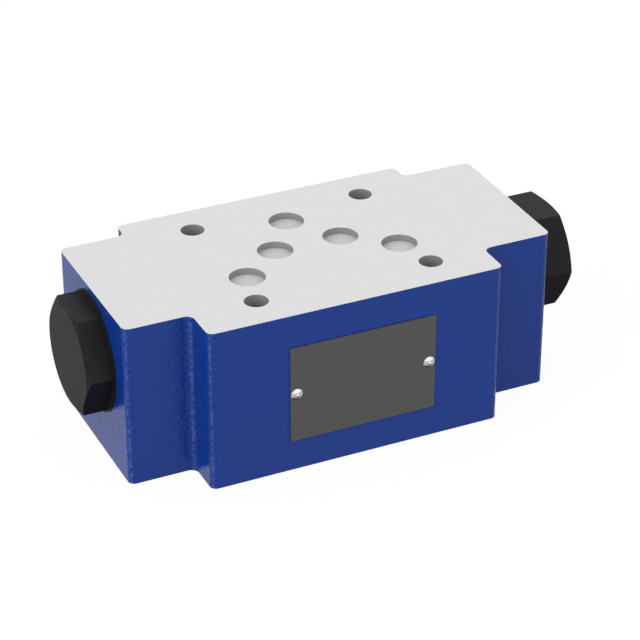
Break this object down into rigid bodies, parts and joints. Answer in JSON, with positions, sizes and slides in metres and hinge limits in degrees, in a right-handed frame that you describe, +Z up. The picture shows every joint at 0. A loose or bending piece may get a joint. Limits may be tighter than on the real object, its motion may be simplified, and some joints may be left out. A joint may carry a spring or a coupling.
{
  "type": "hydraulic lock valve",
  "caption": "Sandwich-plate double pilot-operated check valve: stepped cast block with a ported top face, a hexagon plug at each end and a bare name plate.",
  "frame": {"origin": "centre of the four-bolt pattern on the base face", "axes": "+X along the two end plugs, +Y from the name plate to the back, +Z up through the stack"},
  "size_m": [0.1537, 0.0706, 0.05],
  "materials": {
    "painted_casting": "blue enamel over cast iron, machined bare on the top and base faces",
    "black_steel": "black oxide on turned steel",
    "nitrile": "black nitrile rubber, matt",
    "hardened_steel": "ground hardened steel",
    "bearing_ball": "polished bearing steel",
    "spring_wire": "drawn spring wire",
    "plate_aluminium": "anodised dark grey, satin",
    "rivet_steel": "bright drive rivet",
    "cap_plastic": "pale grey moulded plastic"
  },
  "bodies": {
    "valve_body": {"housing": "painted_casting", "name_plate": "plate_aluminium", "plug_left": "black_steel", "plug_seal_left": "nitrile", "seat_sleeve_left": "hardened_steel", "sleeve_seal_left": "nitrile", "poppet_spring_left": "spring_wire", "rivet_left": "rivet_steel", "plug_right": "black_steel", "plug_seal_right": "nitrile", "seat_sleeve_right": "hardened_steel", "sleeve_seal_right": "nitrile", "poppet_spring_right": "spring_wire", "rivet_right": "rivet_steel", "port_seal_p": "nitrile", "port_plug_p": "cap_plastic", "port_seal_a": "nitrile", "port_plug_a": "cap_plastic", "port_seal_b": "nitrile", "port_plug_b": "cap_plastic", "port_seal_t_left": "nitrile", "port_plug_t_left": "cap_plastic", "port_seal_t_right": "nitrile", "port_plug_t_right": "cap_plastic"},
    "spool": {"control_spool": "hardened_steel"},
    "right_poppet": {"poppet_right": "hardened_steel"},
    "right_ball": {"pilot_ball_right": "bearing_ball", "spring_plate_right": "hardened_steel"},
    "left_poppet": {"poppet_left": "hardened_steel"},
    "left_ball": {"pilot_ball_left": "bearing_ball", "spring_plate_left": "hardened_steel"}
  },
  "joints": [
    {"name": "spool_slide", "type": "slide", "parent": "valve_body", "child": "spool", "axis": [1, 0, 0], "range_m": [0, 0.0047]},
    {"name": "right_poppet_slide", "type": "slide", "parent": "valve_body", "child": "right_poppet", "axis": [1, 0, 0], "range_m": [0, 0.003], "stiffness_N_per_m": 3300, "springref_m": -0.005, "deforming": ["poppet_spring_right"]},
    {"name": "right_ball_slide", "type": "slide", "parent": "right_poppet", "child": "right_ball", "axis": [1, 0, 0], "range_m": [0, 0.0008], "stiffness_N_per_m": 3300, "springref_m": -0.005, "deforming": ["poppet_spring_right"]},
    {"name": "left_poppet_slide", "type": "slide", "parent": "valve_body", "child": "left_poppet", "axis": [-1, 0, 0], "range_m": [0, 0.003], "stiffness_N_per_m": 3300, "springref_m": -0.005, "deforming": ["poppet_spring_left"]},
    {"name": "left_ball_slide", "type": "slide", "parent": "left_poppet", "child": "left_ball", "axis": [-1, 0, 0], "range_m": [0, 0.0008], "stiffness_N_per_m": 3300, "springref_m": -0.005, "deforming": ["poppet_spring_left"]}
  ],
  "couplings": [
    {"joint": "right_poppet_slide", "follows": "spool_slide", "ratio": 0.63829},
    {"joint": "right_ball_slide", "follows": "spool_slide", "ratio": 0.17021}
  ]
}
